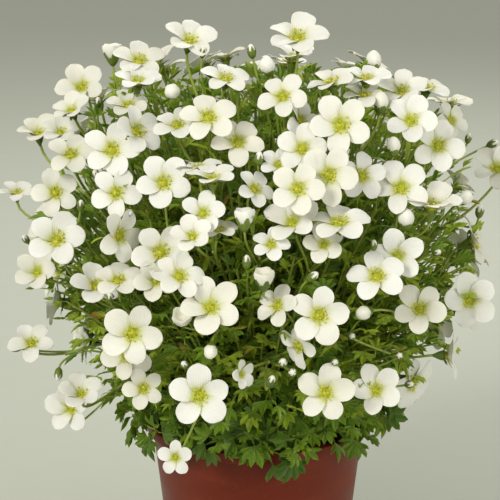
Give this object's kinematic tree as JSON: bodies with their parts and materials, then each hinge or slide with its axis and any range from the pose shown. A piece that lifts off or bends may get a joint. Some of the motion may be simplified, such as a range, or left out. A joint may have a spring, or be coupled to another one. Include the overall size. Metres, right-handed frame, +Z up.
{
  "type": "potted saxifrage",
  "caption": "Potted mossy saxifrage: a cushion of lobed leaves hanging over a round plastic pot, and a globe of white five-petalled blooms on thin stems",
  "frame": {"origin": "centre of the pot's flat foot, on the surface it stands on", "axes": "+Z up, -Y toward the side that the picture shows, +X to the right as seen from there"},
  "size_m": [0.2405, 0.2255, 0.2815],
  "materials": {
    "pot": "satin",
    "soil": "rough",
    "leaves": "satin",
    "sprays": "soft satin"
  },
  "bodies": {
    "root": {"pot": "pot", "soil": "soil", "leaf_cushion": "leaves", "spray_01": "sprays", "spray_02": "sprays", "spray_03": "sprays", "spray_04": "sprays", "spray_05": "sprays", "spray_06": "sprays", "spray_07": "sprays", "spray_08": "sprays", "spray_09": "sprays", "spray_10": "sprays", "spray_11": "sprays", "spray_12": "sprays", "spray_13": "sprays", "spray_14": "sprays", "spray_15": "sprays", "spray_16": "sprays", "spray_17": "sprays", "spray_18": "sprays", "spray_19": "sprays", "spray_20": "sprays", "spray_21": "sprays", "spray_22": "sprays", "spray_23": "sprays", "spray_24": "sprays", "spray_25": "sprays", "spray_26": "sprays", "spray_27": "sprays", "spray_28": "sprays", "spray_29": "sprays", "spray_30": "sprays", "spray_31": "sprays", "spray_32": "sprays", "spray_33": "sprays", "spray_34": "sprays", "spray_35": "sprays", "spray_36": "sprays", "spray_37": "sprays", "spray_38": "sprays", "spray_39": "sprays", "spray_40": "sprays"}
  },
  "joints": []
}
